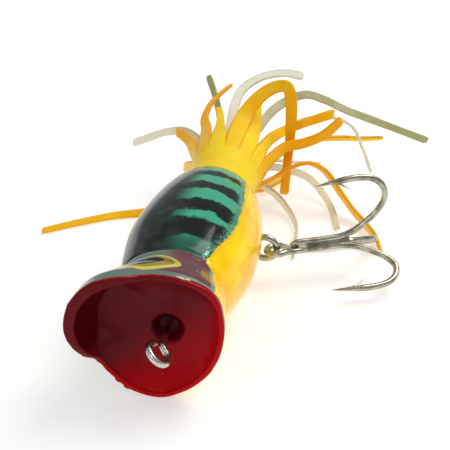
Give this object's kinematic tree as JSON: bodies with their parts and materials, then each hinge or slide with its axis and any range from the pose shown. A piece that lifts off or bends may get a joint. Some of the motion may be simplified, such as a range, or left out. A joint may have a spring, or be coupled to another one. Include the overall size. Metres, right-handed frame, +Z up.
{
  "type": "topwater popper lure",
  "caption": "Surface fishing lure lying on its side: hollow body with a cupped red mouth, two-layer rubber skirt and a treble hook that swings under the belly.",
  "frame": {"origin": "on the ground under the middle of the whole lure as it lies on its side", "axes": "+Z up, -Y the way the mouth faces, +X the side that the belly is turned to"},
  "size_m": [0.068, 0.0856, 0.0242],
  "materials": {
    "painted_plastic": "moulded plastic shell, sprayed green over a dark back and yellow belly with a red mouth, under clear lacquer",
    "plated_steel": "bright nickel-plated steel wire, slightly dulled",
    "yellow_rubber": "soft translucent yellow-orange rubber with a satin skin",
    "cream_rubber": "soft translucent cream rubber with a satin skin"
  },
  "bodies": {
    "lure": {"belly_screw_eye": "plated_steel", "inner_strand_front_floor": "cream_rubber", "inner_strand_left": "cream_rubber", "inner_strand_long_right": "cream_rubber", "inner_strand_middle_floor": "cream_rubber", "inner_strand_plume": "cream_rubber", "inner_strand_rear": "cream_rubber", "inner_strand_rear_low": "cream_rubber", "inner_strand_rear_right": "cream_rubber", "inner_strand_thin_right": "cream_rubber", "inner_strand_upright": "cream_rubber", "left_shell": "painted_plastic", "line_tie_screw_eye": "plated_steel", "outer_strand_arch": "yellow_rubber", "outer_strand_hook_side": "yellow_rubber", "outer_strand_left_floor": "yellow_rubber", "outer_strand_low_left": "yellow_rubber", "outer_strand_rear_left": "yellow_rubber", "outer_strand_right_long": "yellow_rubber", "outer_strand_right_pale": "yellow_rubber", "outer_strand_right_short": "yellow_rubber", "outer_strand_short_left": "yellow_rubber", "outer_strand_under_left": "yellow_rubber", "outer_strand_under_middle": "yellow_rubber", "outer_strand_under_right": "yellow_rubber", "outer_strand_upper_left": "yellow_rubber", "outer_strand_upper_rear": "yellow_rubber", "right_shell": "painted_plastic", "skirt_inner_tube": "cream_rubber", "skirt_outer_tube": "yellow_rubber"},
    "treble_hook": {"treble_double_wire": "plated_steel", "treble_single_wire": "plated_steel"}
  },
  "joints": [
    {"name": "hook_swing", "type": "hinge", "parent": "lure", "child": "treble_hook", "pos_m": [0.01031, -0.00213, 0.006], "axis": [0, 0, 1], "range_deg": [-75, 50], "deforming": ["inner_strand_front_floor", "inner_strand_middle_floor", "outer_strand_hook_side"]}
  ]
}
